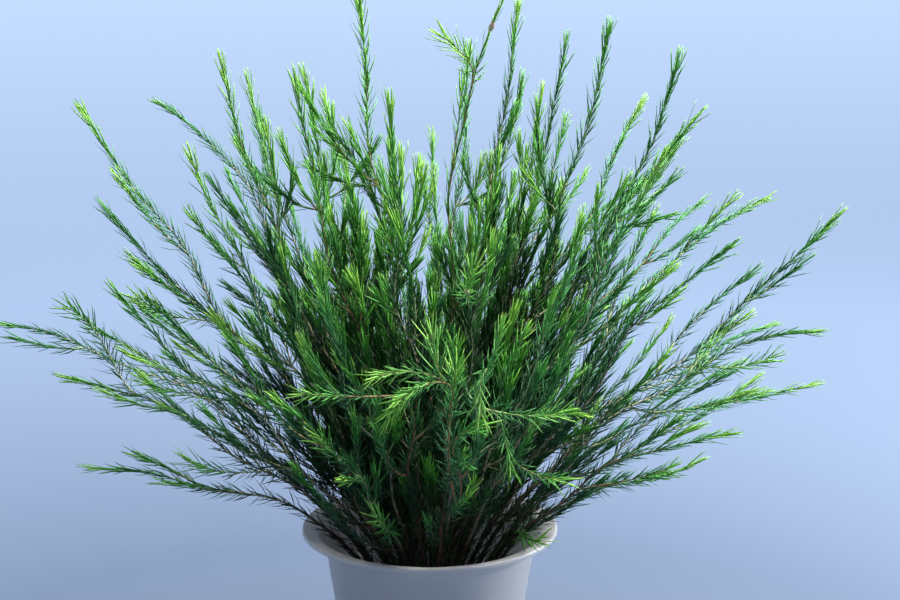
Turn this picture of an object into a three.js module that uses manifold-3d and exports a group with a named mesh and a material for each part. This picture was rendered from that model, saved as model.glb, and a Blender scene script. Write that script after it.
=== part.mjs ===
// A bunch of cut bottlebrush stems standing in a white flower bucket.
// Millimetres, +Z up. The origin is the middle of the bucket's flat underside,
// +X is to the right of the bunch as it is looked at, and -Y is its front.
import * as THREE from 'three';
import Module from 'manifold-3d';
import { mergeVertices } from 'three/addons/utils/BufferGeometryUtils.js';

const wasm = await Module();
wasm.setup();

// Bucket
const bucketHeight = 249;
const baseRadius = 70;
const baseRound = 3;
const neckRadius = 104;
const neckHeight = 229;
const lipRadius = 127;
const lipThickness = 2.4;
const lipTurnDown = 5;
const wallThickness = 2.4;
const floorThickness = 3;
const bucketSides = 36;

// Water
const waterLevel = 110;
const seatGap = 0.3;
const holeScale = 1.3;
const holeFrom = -0.05;
const holeTo = 0.8;

// Stems below the mouth: each stands upright in the water at a share of its place
// in the mouth, then flares out to it, so that no two cross.
const mouthSpread = 104;
const mouthApart = 15;
const mouthPasses = 80;
const widestTip = THREE.MathUtils.degToRad(78);
const gatherShare = 0.42;
const gatherHeight = 145;
const mouthLean = 0.0105;
const stemRadiusBase = 2.3;
const stemRadiusMouth = 2.1;
const stemRadiusTip = 1.6;

// Stems above the mouth
const bareLength = 45;
const whorlPitch = 58;
const handleUpright = 0.44;
const handleFlat = 0.24;
const tipHandle = 0.36;

// Side shoots
const mostShoots = 3;
const sideVary = 0.1;
const sideShare = 0.62;
const sideLongest = 150;
const sidePitch = 56;
const sideForward = 0.93;
const sideApartLow = 0.2;
const sideApartHigh = 0.42;
const sideHandle = 0.22;
const sideRadiusRoot = 1.6;
const sideRadiusTip = 1.4;
const goldenAngle = THREE.MathUtils.degToRad(137.5);

// Needles
const needleLength = 22;
const needleVary = 0.12;
const needleClear = 0.85;
const tubeClear = 0.45;
const whorlHeight = 1.7;
const whorlTurn = THREE.MathUtils.degToRad(47);
const needleFan = THREE.MathUtils.degToRad(30);
const needleLeans = [36, 29, 22, 16].map(THREE.MathUtils.degToRad);
const needleNudges = [0, 14, -14].map(THREE.MathUtils.degToRad);
const gridStep = 30;
const lipBar = 5;

// Which of a stem's seeded numbers each choice takes
const drawTurn = 5;
const drawShoot = 20;
const drawNeedle = 100;

// The tip of every stem, then how far its last stretch turns up or, below nought, levels out.
const stemTips = [
  [-305, -110, 340, -0.25], [-345, -30, 405, -0.3], [-450, 60, 440, -0.45], [-270, -150, 510, 0.1],
  [-295, -60, 570, -0.1], [-340, 60, 650, 0.1], [-290, 200, 650, -0.6], [-205, -130, 625, 0.3],
  [-190, -30, 700, 0.8], [-185, 120, 675, 0.8], [-115, -110, 690, 0.5], [-120, 40, 685, 0.3],
  [-65, -10, 770, 0.5], [-30, -195, 675, 0.3], [65, -40, 755, -0.75], [90, 180, 745, 0.2],
  [135, 90, 715, 0.3], [165, -30, 730, 0.6], [225, 220, 645, -0.2], [240, 40, 700, 0.5],
  [240, -70, 655, -0.35], [200, -150, 625, 0], [300, 260, 535, -0.35], [345, 130, 555, -0.5],
  [385, -10, 555, 0.1], [265, -120, 545, -0.3], [360, -50, 455, -0.55], [390, 80, 370, -0.25],
  [270, -120, 375, -0.3], [260, 0, 310, 0.1], [-25, -250, 440, -0.8], [-145, -220, 435, -0.3],
  [60, -290, 510, 0], [125, -270, 435, -0.6], [35, -300, 400, -0.5], [45, -190, 585, 0.2],
  [-85, -230, 520, 0.1], [125, -220, 560, 0.1], [-70, -240, 370, -0.4], [-330, 220, 430, -0.2],
  [-200, 320, 480, -0.1], [-60, 370, 450, -0.3], [90, 360, 520, 0], [220, 320, 430, -0.3],
  [370, 190, 410, -0.3], [-120, 270, 650, 0.2], [40, 260, 700, 0.3], [-230, 290, 560, 0],
  [0, 340, 600, 0], [150, 300, 620, 0.2],
];

const up = new THREE.Vector3(0, 0, 1);
const mouthCentre = new THREE.Vector3(0, 0, bucketHeight);
const floorLevel = floorThickness + seatGap;

const bucketMaterial = new THREE.MeshStandardMaterial({ color: 0xe4e2ea, roughness: 0.3, metalness: 0 });
const waterMaterial = new THREE.MeshStandardMaterial({ color: 0xb9cfd0, roughness: 0.05, metalness: 0 });
const leafyMaterial = new THREE.MeshStandardMaterial({ color: 0x4c8a25, roughness: 0.45, metalness: 0 });

/** A number from 0 to 1 that is always the same for one stem and one draw. */
function seeded(stem, draw) {
  const wave = Math.sin(stem * 12.9898 + draw * 78.233) * 43758.5453;
  return wave - Math.floor(wave);
}

/** A number that varies evenly round 1 by as much as spread to either side. */
function varied(stem, draw, spread) {
  return 1 + spread * (2 * seeded(stem, draw) - 1);
}

/** The middle of some points. */
function middleOf(points) {
  const sum = points.reduce((total, point) => total.add(point), new THREE.Vector3());
  return sum.divideScalar(points.length);
}

/** Unit vectors across a shoot: one sideways round the bunch, one square to it. */
function crossAxes(tangent, sideways) {
  const first = sideways.clone().addScaledVector(tangent, -sideways.dot(tangent)).normalize();
  const second = new THREE.Vector3().crossVectors(tangent, first);
  return [first, second];
}

/** How far the line from the middle of the mouth to a stem's tip leans from upright. */
function leanOf(tip) {
  return tip.clone().sub(mouthCentre).angleTo(up);
}

/** Where the stems pass through the mouth: further out the more they lean, then pushed apart. */
function mouthPlaces(tips) {
  const places = tips.map((tip) => {
    const heading = Math.atan2(tip.y, tip.x);
    const distance = mouthSpread * Math.sin(leanOf(tip) / 2) / Math.sin(widestTip / 2);
    return new THREE.Vector2(Math.cos(heading), Math.sin(heading)).multiplyScalar(distance);
  });
  for (let pass = 0; pass < mouthPasses; pass += 1) {
    const pushes = places.map((place) => places.reduce((sum, other) => {
      const gap = place.distanceTo(other);
      const push = other === place ? 0 : Math.max(0, mouthApart - gap) / gap / 2;
      return sum.addScaledVector(place, push).addScaledVector(other, -push);
    }, new THREE.Vector2()));
    places.forEach((place, index) => place.add(pushes[index]).clampLength(0, mouthSpread));
  }
  return places;
}

/** A main stem: upright in the water, flared to the mouth, then one curve to the tip. */
function mainRoute(tip, upturn, place) {
  const lean = leanOf(tip);
  const heading = Math.atan2(tip.y, tip.x);
  const mouth = new THREE.Vector3(place.x, place.y, bucketHeight);
  const base = new THREE.Vector3(place.x * gatherShare, place.y * gatherShare, floorLevel);
  const bend = base.clone().setZ(gatherHeight);
  const out = new THREE.Vector3(place.x * mouthLean, place.y * mouthLean, 1).normalize();
  const span = mouth.distanceTo(tip);
  const handle = THREE.MathUtils.lerp(handleUpright, handleFlat, Math.sin(lean) ** 2);
  const end = tip.clone().sub(mouth).normalize();
  end.addScaledVector(up, upturn).normalize();
  const curve = new THREE.CubicBezierCurve3(
    mouth,
    mouth.clone().addScaledVector(out, span * handle),
    tip.clone().addScaledVector(end, -span * tipHandle),
    tip,
  );
  const sideways = new THREE.Vector3(-Math.sin(heading), Math.cos(heading), 0);
  return { base, bend, mouth, out, curve, sideways };
}

/** Distances along a shoot where its whorls of needles sit, the last one at its tip. */
function whorlPlaces(length, bare, pitch) {
  const count = Math.max(1, Math.round((length - bare) / pitch)) + 1;
  return Array.from({ length: count }, (_, index) => bare + (length - bare) * index / (count - 1));
}

/** The whorl places that carry a side shoot. */
function branchPlaces(count) {
  const shoots = Math.min(mostShoots, Math.floor(count / 2));
  return Array.from({ length: shoots }, (_, index) => 1 + Math.floor(index * (count - 2) / shoots));
}

/** A side shoot: it leaves the stem at an angle and bends to run beside it. */
function sideRoute(main, along, turn, stem, index) {
  const share = along / main.curve.getLength();
  const root = main.curve.getPointAt(share);
  const tangent = main.curve.getTangentAt(share);
  const [first, second] = crossAxes(tangent, main.sideways);
  const side = first.multiplyScalar(Math.cos(turn)).addScaledVector(second, Math.sin(turn));
  const fullLength = Math.min(sideLongest, sideShare * (main.curve.getLength() - along));
  const length = fullLength * varied(stem, drawShoot + index, sideVary);
  const bend = sideHandle * length;
  const apart = THREE.MathUtils.lerp(sideApartLow, sideApartHigh, share) * length;
  return new THREE.QuadraticBezierCurve3(
    root,
    root.clone().addScaledVector(tangent, bend).addScaledVector(side, bend),
    root.clone().addScaledVector(tangent, sideForward * length).addScaledVector(side, apart),
  );
}

/** Everything that shapes one leafy stem. */
function planStem(main, stem) {
  const places = whorlPlaces(main.curve.getLength(), bareLength, whorlPitch);
  const firstTurn = 2 * Math.PI * seeded(stem, drawTurn);
  const shoots = branchPlaces(places.length).map((place, index) => {
    const turn = firstTurn + index * goldenAngle;
    return { place, turn, curve: sideRoute(main, places[place], turn, stem, index) };
  });
  return { main, places, shoots };
}

/** Shortest distance between two straight pieces a-b and c-d. */
function gapBetween(a, b, c, d) {
  const u = b.clone().sub(a);
  const v = d.clone().sub(c);
  const w = a.clone().sub(c);
  const uu = u.dot(u);
  const uv = u.dot(v);
  const vv = v.dot(v);
  const uw = u.dot(w);
  const vw = v.dot(w);
  const scale = uu * vv - uv * uv;
  let s = scale > 1e-9 ? THREE.MathUtils.clamp((uv * vw - vv * uw) / scale, 0, 1) : 0;
  const t = THREE.MathUtils.clamp((uv * s + vw) / vv, 0, 1);
  s = THREE.MathUtils.clamp((uv * t - uw) / uu, 0, 1);
  return w.addScaledVector(u, s).addScaledVector(v, -t).length();
}

/** Round bars already placed, kept in a grid of cells so that near ones are found fast. */
class PlacedBars {
  constructor() {
    this.cells = new Map();
  }

  cellsOf(a, b) {
    const keys = [];
    const low = a.clone().min(b).divideScalar(gridStep).floor();
    const high = a.clone().max(b).divideScalar(gridStep).floor();
    for (let x = low.x - 1; x <= high.x + 1; x += 1) {
      for (let y = low.y - 1; y <= high.y + 1; y += 1) {
        for (let z = low.z - 1; z <= high.z + 1; z += 1) {
          keys.push(`${x},${y},${z}`);
        }
      }
    }
    return keys;
  }

  add(bar) {
    const middle = bar.a.clone().add(bar.b).divideScalar(2);
    const pieces = Math.ceil(bar.a.distanceTo(bar.b) / gridStep);
    const homes = new Set();
    for (let piece = 0; piece <= pieces; piece += 1) {
      const spot = middle.lerpVectors(bar.a, bar.b, piece / pieces).divideScalar(gridStep).floor();
      homes.add(`${spot.x},${spot.y},${spot.z}`);
    }
    homes.forEach((key) => this.cells.set(key, [...(this.cells.get(key) ?? []), bar]));
  }

  /** True where a bar from a to b stays clear of all bars that skip() doesn't pass over. */
  isClear(a, b, radius, skip) {
    return this.cellsOf(a, b).every((key) => (this.cells.get(key) ?? []).every((bar) => (
      skip(bar) || gapBetween(a, b, bar.a, bar.b) > radius + bar.radius
    )));
  }
}

/** The surface of one leafy stem, grown ring by ring. Rings have three corners. */
class StemSurface {
  constructor(stem, placed) {
    this.stem = stem;
    this.placed = placed;
    this.points = [];
    this.faces = [];
    this.whorls = [];
    this.draws = 0;
  }

  addPoint(point) {
    this.points.push(point);
    return this.points.length - 1;
  }

  ring(centre, tangent, sideways, radius, turn) {
    const [first, second] = crossAxes(tangent, sideways);
    return [0, 1, 2].map((corner) => {
      const angle = turn + corner * 2 * Math.PI / 3;
      return this.addPoint(centre.clone()
        .addScaledVector(first, radius * Math.cos(angle))
        .addScaledVector(second, radius * Math.sin(angle)));
    });
  }

  /** The turn at which a whorl's low ring twists least against a face that it grows from. */
  turnFrom(face, tangent, sideways) {
    const [first, second] = crossAxes(tangent, sideways);
    const middle = middleOf(face.map((corner) => this.points[corner]));
    const sum = new THREE.Vector2();
    face.forEach((corner, index) => {
      const spoke = this.points[corner].clone().sub(middle);
      const flat = new THREE.Vector2(spoke.dot(first), spoke.dot(second));
      sum.add(flat.rotateAround(new THREE.Vector2(), -index * 2 * Math.PI / 3));
    });
    return sum.angle() + Math.PI / 3;
  }

  /** The same ring, numbered from the corner that twists the tube least. */
  matched(from, to) {
    const twist = (shift) => [0, 1, 2].reduce((sum, corner) => (
      sum + this.points[from[corner]].distanceTo(this.points[to[(corner + shift) % 3]])
    ), 0);
    const best = [0, 1, 2].sort((a, b) => twist(a) - twist(b))[0];
    return [0, 1, 2].map((corner) => to[(corner + best) % 3]);
  }

  bridge(from, to) {
    for (let corner = 0; corner < 3; corner += 1) {
      const next = (corner + 1) % 3;
      this.faces.push([from[corner], from[next], to[next]], [from[corner], to[next], to[corner]]);
    }
  }

  spike(face, tip) {
    const point = this.addPoint(tip);
    this.faces.push([face[0], face[1], point], [face[1], face[2], point], [face[2], face[0], point]);
  }

  /** Six needles raised from the six half faces of a short band; one may be a side shoot. */
  whorl(centre, tangent, sideways, radius, turn, whorl, shoot) {
    const low = this.ring(centre, tangent, sideways, radius, turn - Math.PI / 3);
    const high = this.ring(
      centre.clone().addScaledVector(tangent, whorlHeight), tangent, sideways, radius, turn - Math.PI / 3,
    );
    const axes = crossAxes(tangent, sideways);
    for (let side = 0; side < 3; side += 1) {
      const next = (side + 1) % 3;
      const heading = turn + side * 2 * Math.PI / 3;
      const nearHalf = [low[side], low[next], high[next]];
      const farHalf = [low[side], high[next], high[side]];
      if (side === 0 && shoot) {
        shoot.root = nearHalf;
      } else {
        this.needle(nearHalf, tangent, axes, heading + needleFan, whorl);
      }
      this.needle(farHalf, tangent, axes, heading - needleFan, whorl);
    }
    return { low, high };
  }

  /** One needle, bent closer to the shoot where something else is in its way. */
  needle(face, tangent, axes, heading, whorl) {
    const root = middleOf(face.map((corner) => this.points[corner]));
    this.draws += 1;
    const length = needleLength * varied(this.stem, drawNeedle + this.draws, needleVary);
    for (const lean of needleLeans) {
      for (const nudge of needleNudges) {
        const away = axes[0].clone().multiplyScalar(Math.cos(heading + nudge))
          .addScaledVector(axes[1], Math.sin(heading + nudge));
        const tip = root.clone()
          .addScaledVector(tangent, length * Math.cos(lean))
          .addScaledVector(away, length * Math.sin(lean));
        const skip = (bar) => bar.whorls.includes(whorl);
        if (this.placed.isClear(root, tip, needleClear, skip)) {
          this.placed.add({ a: root, b: tip, radius: needleClear, whorls: [whorl] });
          this.spike(face, tip);
          return;
        }
      }
    }
    this.faces.push(face);
  }
}

/** Where a shoot's whorls sit: the place, the direction and the share of the length there. */
function shootStations(curve, places) {
  const length = curve.getLength();
  return places.map((along) => ({
    centre: curve.getPointAt(Math.min(along / length, 1)),
    tangent: curve.getTangentAt(Math.min(along / length, 1)),
    share: along / length,
  }));
}

/** Adds the bars of one stem, each marked with the whorls at its two ends. */
function placeBars(plan, stem, placed) {
  const { main, places, shoots } = plan;
  const mark = (shoot, index) => `${stem}/${shoot}/${index}`;
  plan.stations = shootStations(main.curve, places);
  placed.add({ a: main.base, b: main.bend, radius: stemRadiusBase + tubeClear, whorls: [] });
  placed.add({ a: main.bend, b: main.mouth, radius: stemRadiusBase + tubeClear, whorls: [] });
  let last = main.mouth;
  plan.stations.forEach((station, index) => {
    const whorls = [mark('main', index - 1), mark('main', index)];
    placed.add({ a: last, b: station.centre, radius: stemRadiusMouth + tubeClear, whorls });
    last = station.centre;
  });
  shoots.forEach((shoot, number) => {
    const sidePlaces = whorlPlaces(shoot.curve.getLength(), 0, sidePitch).slice(1);
    shoot.stations = shootStations(shoot.curve, sidePlaces);
    last = plan.stations[shoot.place].centre;
    shoot.stations.forEach((station, index) => {
      const from = index ? mark(number, index - 1) : mark('main', shoot.place);
      const whorls = [from, mark(number, index)];
      placed.add({ a: last, b: station.centre, radius: sideRadiusRoot + tubeClear, whorls });
      last = station.centre;
    });
  });
}

/** Adds the bucket's lip as rings of bars, so that needles bend clear of it. */
function placeLip(placed) {
  const spot = (radius, side) => {
    const angle = side * 2 * Math.PI / bucketSides;
    return new THREE.Vector3(radius * Math.cos(angle), radius * Math.sin(angle), bucketHeight - lipBar);
  };
  for (let radius = neckRadius; radius < lipRadius; radius += lipBar) {
    for (let side = 0; side < bucketSides; side += 1) {
      placed.add({ a: spot(radius, side), b: spot(radius, side + 1), radius: lipBar, whorls: [] });
    }
  }
}

/** One shoot from a ring of three corners up to its tip, with whorls at its stations. */
function growShoot(surface, start, stations, sideways, radiusAt, turnAt, markAt, shootAt) {
  let ring = start;
  stations.forEach((station, index) => {
    const { centre, tangent, share } = station;
    const turn = turnAt(index);
    const { low, high } = surface.whorl(
      centre, tangent, sideways, radiusAt(share), turn, markAt(index), shootAt(index),
    );
    const matched = surface.matched(ring, low);
    surface.bridge(ring, matched);
    ring = high;
  });
  const { centre, tangent } = stations[stations.length - 1];
  surface.spike(ring, centre.clone().addScaledVector(tangent, needleLength));
}

/** A closed geometry from numbered points and triangles. */
function closedGeometry(points, faces) {
  const geometry = new THREE.BufferGeometry();
  geometry.setAttribute('position', new THREE.Float32BufferAttribute(points.flatMap((p) => p.toArray()), 3));
  geometry.setIndex(faces.flat());
  geometry.computeVertexNormals();
  return geometry;
}

/** One leafy stem: the main stem, its side shoots and all their needles as one surface. */
function makeLeafyStem(plan, stem, placed) {
  const { main, stations, shoots } = plan;
  const surface = new StemSurface(stem, placed);
  const foot = surface.ring(main.base, up, main.sideways, stemRadiusBase, 0);
  const bendRing = surface.ring(main.bend, up, main.sideways, stemRadiusBase, 0);
  const mouthRing = surface.ring(main.mouth, main.out, main.sideways, stemRadiusMouth, 0);
  surface.faces.push([foot[2], foot[1], foot[0]]);
  surface.bridge(foot, bendRing);
  surface.bridge(bendRing, mouthRing);
  const shootAt = (index) => shoots.find((shoot) => shoot.place === index);
  const firstTurnOf = (shoot) => surface.turnFrom(shoot.root, shoot.stations[0].tangent, main.sideways);
  growShoot(
    surface, mouthRing, stations, main.sideways,
    (share) => THREE.MathUtils.lerp(stemRadiusMouth, stemRadiusTip, share),
    (index) => (shootAt(index) ? shootAt(index).turn - needleFan : stem + index * whorlTurn),
    (index) => `${stem}/main/${index}`,
    shootAt,
  );
  shoots.forEach((shoot, number) => growShoot(
    surface, shoot.root, shoot.stations, main.sideways,
    (share) => THREE.MathUtils.lerp(sideRadiusRoot, sideRadiusTip, share),
    (index) => firstTurnOf(shoot) + index * whorlTurn,
    (index) => `${stem}/${number}/${index}`,
    () => undefined,
  ));
  plan.foot = foot.map((corner) => surface.points[corner]);
  plan.bendRing = bendRing.map((corner) => surface.points[corner]);
  return closedGeometry(surface.points, surface.faces);
}

/** A closed solid of revolution about Z from a profile of radius and height. */
function turned(profile) {
  const points = profile.map(([radius, height]) => new THREE.Vector2(radius, height));
  const lathe = new THREE.LatheGeometry(points, bucketSides).rotateX(Math.PI / 2);
  lathe.deleteAttribute('normal');
  lathe.deleteAttribute('uv');
  const merged = mergeVertices(lathe, 1e-4);
  const index = merged.index.array;
  const faces = [];
  for (let start = 0; start < index.length; start += 3) {
    const [a, b, c] = index.slice(start, start + 3);
    if (a !== b && b !== c && c !== a) {
      faces.push([a, b, c]);
    }
  }
  merged.setIndex(faces.flat());
  merged.computeVertexNormals();
  return merged;
}

/** Inner radius of the bucket's wall at a height below the neck. */
function innerRadius(height) {
  const outer = THREE.MathUtils.mapLinear(height, baseRound, neckHeight, baseRadius, neckRadius);
  return outer - wallThickness;
}

/** The bucket: a tapered wall, a flat floor and a flared lip with a turned-down edge. */
function makeBucket() {
  const lipUnder = bucketHeight - lipThickness;
  const flare = (lipRadius - neckRadius) / 3;
  return turned([
    [0, 0],
    [baseRadius - baseRound, 0],
    [baseRadius, baseRound],
    [neckRadius, neckHeight],
    [neckRadius + flare, lipUnder - flare / 2],
    [lipRadius - lipThickness, lipUnder],
    [lipRadius - lipThickness, bucketHeight - lipTurnDown],
    [lipRadius, bucketHeight - lipTurnDown],
    [lipRadius, bucketHeight - lipThickness / 2],
    [lipRadius - lipThickness, bucketHeight],
    [neckRadius + flare, bucketHeight - flare / 2],
    [neckRadius - wallThickness, neckHeight + wallThickness],
    [innerRadius(floorThickness), floorThickness],
    [0, floorThickness],
  ]);
}

/** A three.js geometry as a solid that can be cut. */
function asSolid(geometry) {
  return new wasm.Manifold(new wasm.Mesh({
    numProp: 3,
    vertProperties: new Float32Array(geometry.attributes.position.array),
    triVerts: new Uint32Array(geometry.index.array),
  }));
}

/** A plain prism round the sunk part of one stem, a little wider than it. */
function stemHole(plan) {
  const wider = (ring) => ring.map((corner) => middleOf(ring).lerp(corner, holeScale));
  const foot = wider(plan.foot);
  const bend = wider(plan.bendRing);
  const between = (share) => foot.map((corner, index) => corner.clone().lerp(bend[index], share));
  const [a, b, c] = [0, 1, 2];
  const faces = [[c, b, a], [a + 3, b + 3, c + 3]];
  for (let corner = 0; corner < 3; corner += 1) {
    const next = (corner + 1) % 3;
    faces.push([corner, next, next + 3], [corner, next + 3, corner + 3]);
  }
  return closedGeometry([...between(holeFrom), ...between(holeTo)], faces);
}

/** The water, with a plain hole for every stem that stands in it. */
function makeWater(plans) {
  let water = asSolid(turned([
    [0, floorLevel],
    [innerRadius(floorLevel) - seatGap, floorLevel],
    [innerRadius(waterLevel) - seatGap, waterLevel],
    [0, waterLevel],
  ]));
  plans.forEach((plan) => {
    water = water.subtract(asSolid(stemHole(plan)));
  });
  const mesh = water.getMesh();
  const geometry = new THREE.BufferGeometry();
  geometry.setAttribute('position', new THREE.BufferAttribute(new Float32Array(mesh.vertProperties), 3));
  geometry.setIndex(new THREE.BufferAttribute(new Uint32Array(mesh.triVerts), 1));
  geometry.computeVertexNormals();
  return geometry;
}

function named(name, geometry, material) {
  const mesh = new THREE.Mesh(geometry, material);
  mesh.name = name;
  return mesh;
}

const tips = stemTips.map(([x, y, z]) => new THREE.Vector3(x, y, z));
const mouths = mouthPlaces(tips);
const plans = tips.map((tip, stem) => planStem(mainRoute(tip, stemTips[stem][3], mouths[stem]), stem));
const placed = new PlacedBars();
placeLip(placed);
plans.forEach((plan, stem) => placeBars(plan, stem, placed));

const group = new THREE.Group();
group.add(named('bucket', makeBucket(), bucketMaterial));
plans.forEach((plan, stem) => {
  const name = `leafy_stem_${String(stem + 1).padStart(2, '0')}`;
  group.add(named(name, makeLeafyStem(plan, stem, placed), leafyMaterial));
});
group.add(named('water', makeWater(plans), waterMaterial));

export default group;
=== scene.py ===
# %% [markdown]
# # A bunch of bottlebrush stems in a flower bucket
#
# Fifty cut stems with fine needle leaves fan out of a white plastic bucket that stands on its
# flat underside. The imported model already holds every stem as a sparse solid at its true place.
# This lesson dresses that model: it grows the full foliage along the same routes, turns a finer
# bucket, fills it with water, and gives each of them a finish. Lengths are metres, +Z is up and
# the camera looks along +Y.

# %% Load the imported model
import math
from dataclasses import dataclass

import bpy
import numpy as np
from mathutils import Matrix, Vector


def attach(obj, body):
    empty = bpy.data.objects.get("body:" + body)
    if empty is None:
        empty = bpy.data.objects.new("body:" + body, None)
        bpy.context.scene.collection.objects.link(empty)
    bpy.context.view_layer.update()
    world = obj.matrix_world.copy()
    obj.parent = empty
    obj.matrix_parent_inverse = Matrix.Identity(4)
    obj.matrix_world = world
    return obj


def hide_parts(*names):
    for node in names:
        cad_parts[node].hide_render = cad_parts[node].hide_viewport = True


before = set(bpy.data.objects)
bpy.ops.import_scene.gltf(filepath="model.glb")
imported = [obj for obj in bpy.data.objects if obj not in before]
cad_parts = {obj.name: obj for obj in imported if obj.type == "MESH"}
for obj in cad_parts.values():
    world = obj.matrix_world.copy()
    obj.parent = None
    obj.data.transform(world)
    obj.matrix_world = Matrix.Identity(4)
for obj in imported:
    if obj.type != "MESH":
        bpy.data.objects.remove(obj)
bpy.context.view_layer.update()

# %% [markdown]
# ## The camera
#
# The photo looks down on the bunch a little, so the mouth of the bucket shows as a flat ellipse.
# A longish lens keeps the near and the far stems at nearly the same scale. The pale floor runs on
# very far behind the bunch, so the camera is told to see that far. The plain Standard transform
# keeps the colours as clear as a snapshot has them.

# %% Camera
CAMERA_PLACE = (0.020, -1.524, 0.778)
CAMERA_PITCH = math.radians(11.2)
CAMERA_LENS_MM = 64.0
CAMERA_REACH = 400.0

camera_data = bpy.data.cameras.new("camera")
camera_data.lens = CAMERA_LENS_MM
camera_data.clip_end = CAMERA_REACH
camera = bpy.data.objects.new("camera", camera_data)
camera.location = CAMERA_PLACE
camera.rotation_euler = (math.pi / 2 - CAMERA_PITCH, 0, 0)
bpy.context.collection.objects.link(camera)
bpy.context.scene.camera = camera
bpy.context.scene.view_settings.view_transform = "Standard"

# %% [markdown]
# ## Where the stems run
#
# The foliage has to keep the form of the solids that it replaces, so the routes of the stems and
# of their large side shoots are worked out again from the same values. Each stem stands upright
# in the water, flares out to its place in the mouth, and runs from there in one smooth curve to
# its tip. The row of each stem gives its tip and how far its last stretch turns up or, below
# nought, levels out. A real stem is never quite true, so each one also wanders a few millimetres
# to either side of that curve.

# %% Tips of the stems
STEM_TIPS_MM = [
    (-305, -110, 340, -0.25), (-345, -30, 405, -0.3), (-450, 60, 440, -0.45), (-270, -150, 510, 0.1),
    (-295, -60, 570, -0.1), (-340, 60, 650, 0.1), (-290, 200, 650, -0.6), (-205, -130, 625, 0.3),
    (-190, -30, 700, 0.8), (-185, 120, 675, 0.8), (-115, -110, 690, 0.5), (-120, 40, 685, 0.3),
    (-65, -10, 770, 0.5), (-30, -195, 675, 0.3), (65, -40, 755, -0.75), (90, 180, 745, 0.2),
    (135, 90, 715, 0.3), (165, -30, 730, 0.6), (225, 220, 645, -0.2), (240, 40, 700, 0.5),
    (240, -70, 655, -0.35), (200, -150, 625, 0), (300, 260, 535, -0.35), (345, 130, 555, -0.5),
    (385, -10, 555, 0.1), (265, -120, 545, -0.3), (360, -50, 455, -0.55), (390, 80, 370, -0.25),
    (270, -120, 375, -0.3), (260, 0, 310, 0.1), (-25, -250, 440, -0.8), (-145, -220, 435, -0.3),
    (60, -290, 510, 0), (125, -270, 435, -0.6), (35, -300, 400, -0.5), (45, -190, 585, 0.2),
    (-85, -230, 520, 0.1), (125, -220, 560, 0.1), (-70, -240, 370, -0.4), (-330, 220, 430, -0.2),
    (-200, 320, 480, -0.1), (-60, 370, 450, -0.3), (90, 360, 520, 0), (220, 320, 430, -0.3),
    (370, 190, 410, -0.3), (-120, 270, 650, 0.2), (40, 260, 700, 0.3), (-230, 290, 560, 0),
    (0, 340, 600, 0), (150, 300, 620, 0.2),
]
stem_tips = np.array(STEM_TIPS_MM)[:, :3] / 1000
print("stems", len(stem_tips), "highest tip", stem_tips[:, 2].max())

# %% [markdown]
# A route is kept as points at short steps with the distance to each. Anything can then be asked
# at a whole array of distances at once, which is what the leaves need later. The random draws
# come from one formula, the same as in the solids, so every run gives the same bunch. Each kind
# of draw has a number of its own, so that no two of them go hand in hand.

# %% Routes
CURVE_STEPS = 200
STEM_TURN = 12.9898
DRAW_TURN = 78.233
WAVE_HEIGHT = 43758.5453


def seeded(stem, draw):
    """The fraction left of a tall sine wave: the same number from 0 to 1 for one stem and draw."""
    wave = np.sin(stem * STEM_TURN + draw * DRAW_TURN) * WAVE_HEIGHT
    return wave - np.floor(wave)


def unit(vectors):
    """Each vector divided by its length."""
    return vectors / np.linalg.norm(vectors, axis=-1, keepdims=True)


def blend(first, second, share):
    """The first value at share 0, the second at share 1, and evenly between. It serves numbers,
    arrays and, further on, shader values."""
    return first + (second - first) * share


def share_of(value, full):
    """The value divided by the full one, kept from 0 to 1."""
    return np.clip(value / full, 0, 1)


def bezier(controls):
    """Points at even shares: neighbouring control points are blended until one is left."""
    share = np.linspace(0, 1, CURVE_STEPS + 1)[None, :, None]
    level = np.array(controls)[:, None, :]
    while len(level) > 1:
        level = blend(level[:-1], level[1:], share)
    return level[0]


# %% A route
class Route:
    """A line in space that can be asked for its place and direction at any distances."""

    def __init__(self, points, sideways, sunk=0.0):
        """Distances add up the steps, and each heading is the slope between a point's neighbours."""
        steps = np.linalg.norm(np.diff(points, axis=0), axis=1)
        self.distance = np.concatenate([[0.0], np.cumsum(steps)]) - sunk
        self.points = points
        self.headings = unit(np.gradient(points, self.distance, axis=0))
        self.sideways = sideways
        self.start = self.distance[0]
        self.length = self.distance[-1]

    def place(self, along):
        """Blended evenly between the two nearest points, as the heading is."""
        return np.stack([np.interp(along, self.distance, axis) for axis in self.points.T], -1)

    def heading(self, along):
        """The direction there, as a unit vector."""
        return unit(np.stack([np.interp(along, self.distance, axis) for axis in self.headings.T], -1))

    def across(self, along):
        """Two unit vectors square to the route: the sideways one first, then their product."""
        heading = self.heading(along)
        first = unit(self.sideways - heading * (heading @ self.sideways)[..., None])
        return first, np.cross(heading, first)


# %% [markdown]
# The stems can't all pass through one spot of the mouth. Each gets a place there by how much it
# leans, and those that are too close push one another apart. That is also how a hand-filled
# bunch settles.

# %% Places in the mouth
MOUTH_HEIGHT = 0.249
MOUTH_SPREAD = 0.104
MOUTH_APART = 0.015
MOUTH_PASSES = 80
WIDEST_TIP = math.radians(78)


def lean_of(tip):
    """Angle from upright of the line from the middle of the mouth to a tip."""
    reach = tip - (0, 0, MOUTH_HEIGHT)
    return math.acos(reach[2] / np.linalg.norm(reach))


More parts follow.
